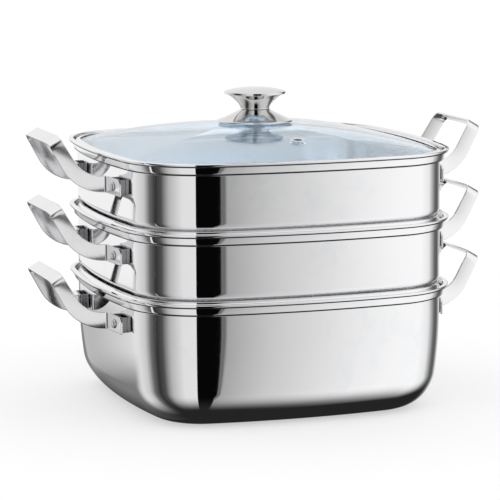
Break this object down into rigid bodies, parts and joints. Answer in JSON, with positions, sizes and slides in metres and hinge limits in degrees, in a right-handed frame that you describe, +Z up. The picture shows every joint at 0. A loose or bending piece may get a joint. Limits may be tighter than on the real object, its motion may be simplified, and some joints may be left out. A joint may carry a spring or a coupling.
{
  "type": "square steamer",
  "caption": "Square stainless stovetop steamer: deep pot, stacked perforated tiers and a domed glass lid, with riveted strap handles and a spool knob.",
  "frame": {"origin": "middle of the pot's flat underside, on the surface that the pot stands on", "axes": "+Z up through the knob, +X towards the right-hand handles, -Y towards the front"},
  "size_m": [0.4158, 0.319, 0.2871],
  "materials": {
    "polished_steel": "mirror-polished stainless sheet",
    "handle_steel": "polished stainless strap and bracket",
    "rivet_steel": "plain stainless rivets, screw, washer and eyelet",
    "knob_steel": "polished stainless knob",
    "tinted_glass": "pale blue tempered glass",
    "silicone": "translucent white silicone seals"
  },
  "bodies": {
    "pot": {"pot_body": "polished_steel", "pot_left_strap": "handle_steel", "pot_right_strap": "handle_steel", "pot_left_front_bracket": "handle_steel", "pot_left_back_bracket": "handle_steel", "pot_right_front_bracket": "handle_steel", "pot_right_back_bracket": "handle_steel", "pot_left_front_rivet": "rivet_steel", "pot_left_back_rivet": "rivet_steel", "pot_right_front_rivet": "rivet_steel", "pot_right_back_rivet": "rivet_steel"},
    "lower_tier": {"lower_tier_body": "polished_steel", "lower_tier_left_strap": "handle_steel", "lower_tier_right_strap": "handle_steel", "lower_tier_left_front_bracket": "handle_steel", "lower_tier_left_back_bracket": "handle_steel", "lower_tier_right_front_bracket": "handle_steel", "lower_tier_right_back_bracket": "handle_steel", "lower_tier_left_front_rivet": "rivet_steel", "lower_tier_left_back_rivet": "rivet_steel", "lower_tier_right_front_rivet": "rivet_steel", "lower_tier_right_back_rivet": "rivet_steel"},
    "upper_tier": {"upper_tier_body": "polished_steel", "upper_tier_left_strap": "handle_steel", "upper_tier_right_strap": "handle_steel", "upper_tier_left_front_bracket": "handle_steel", "upper_tier_left_back_bracket": "handle_steel", "upper_tier_right_front_bracket": "handle_steel", "upper_tier_right_back_bracket": "handle_steel", "upper_tier_left_front_rivet": "rivet_steel", "upper_tier_left_back_rivet": "rivet_steel", "upper_tier_right_front_rivet": "rivet_steel", "upper_tier_right_back_rivet": "rivet_steel"},
    "lid": {"lid_glass": "tinted_glass", "lid_rim_ring": "polished_steel", "rim_gasket": "silicone", "vent_grommet": "rivet_steel", "knob_skirt": "knob_steel", "knob_grip": "knob_steel", "knob_cap": "knob_steel", "knob_screw": "rivet_steel", "knob_gasket": "silicone", "inner_gasket": "silicone", "inner_washer": "rivet_steel"}
  },
  "joints": [
    {"name": "lower_tier_lift", "type": "slide", "parent": "pot", "child": "lower_tier", "axis": [0, 0, 1], "range_m": [0, 0.08]},
    {"name": "upper_tier_lift", "type": "slide", "parent": "lower_tier", "child": "upper_tier", "axis": [0, 0, 1], "range_m": [0, 0.08]},
    {"name": "lid_lift", "type": "slide", "parent": "upper_tier", "child": "lid", "axis": [0, 0, 1], "range_m": [0, 0.07]}
  ]
}
